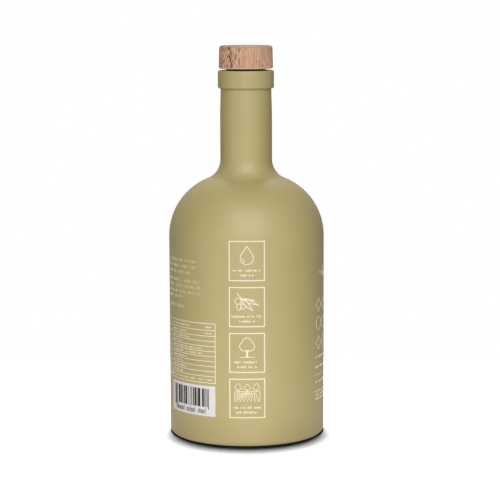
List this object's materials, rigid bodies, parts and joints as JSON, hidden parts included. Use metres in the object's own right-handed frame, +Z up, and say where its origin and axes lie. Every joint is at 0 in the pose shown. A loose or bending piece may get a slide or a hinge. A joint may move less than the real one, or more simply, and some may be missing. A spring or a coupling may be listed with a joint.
{
  "type": "olive oil bottle",
  "caption": "Round painted-glass oil bottle with a straight side, a domed shoulder, a slim neck with a collar ring, and a wood-headed T-stopper.",
  "frame": {"origin": "centre of the base, on the surface that the bottle stands on", "axes": "+Z up along the bottle's axis; the printed pictogram column faces -Y"},
  "size_m": [0.082, 0.082, 0.2053],
  "materials": {
    "painted_glass": "opaque matte khaki paint over glass, with a cream screen print",
    "shank_polymer": "matte black polymer",
    "head_wood": "sanded beech with upright grain"
  },
  "bodies": {
    "root": {"bottle": "painted_glass", "stopper_shank": "shank_polymer", "stopper_head": "head_wood"}
  },
  "joints": []
}
